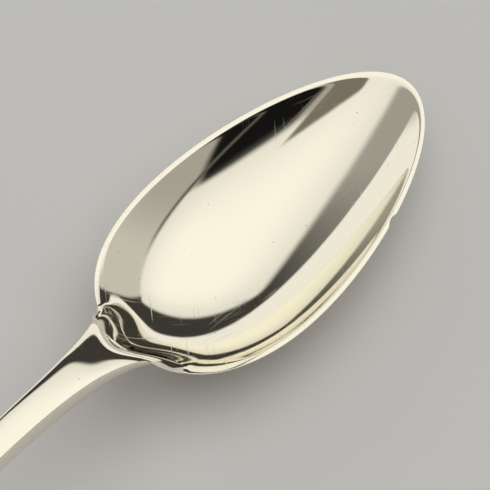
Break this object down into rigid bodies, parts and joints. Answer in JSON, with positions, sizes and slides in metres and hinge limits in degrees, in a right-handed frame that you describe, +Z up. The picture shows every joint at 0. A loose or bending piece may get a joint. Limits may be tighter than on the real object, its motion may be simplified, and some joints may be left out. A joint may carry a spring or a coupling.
{
  "type": "teaspoon",
  "caption": "Silver teaspoon with a pointed egg-shaped bowl, flat rim, drop on the back, swept neck and a rounded, turned-down handle end.",
  "frame": {"origin": "on the table under the middle of the spoon's length, on its plane of symmetry", "axes": "+X from the handle to the tip of the bowl, +Z up out of the open bowl, Y across the spoon"},
  "size_m": [0.1322, 0.024, 0.0143],
  "materials": {
    "silver": "polished sterling silver with fine scratches and small pits from use",
    "solder": "hard silver solder, filed and polished flush"
  },
  "bodies": {
    "root": {"bowl": "silver", "stem": "silver", "drop": "silver", "heel_solder": "solder", "drop_solder": "solder"}
  },
  "joints": []
}
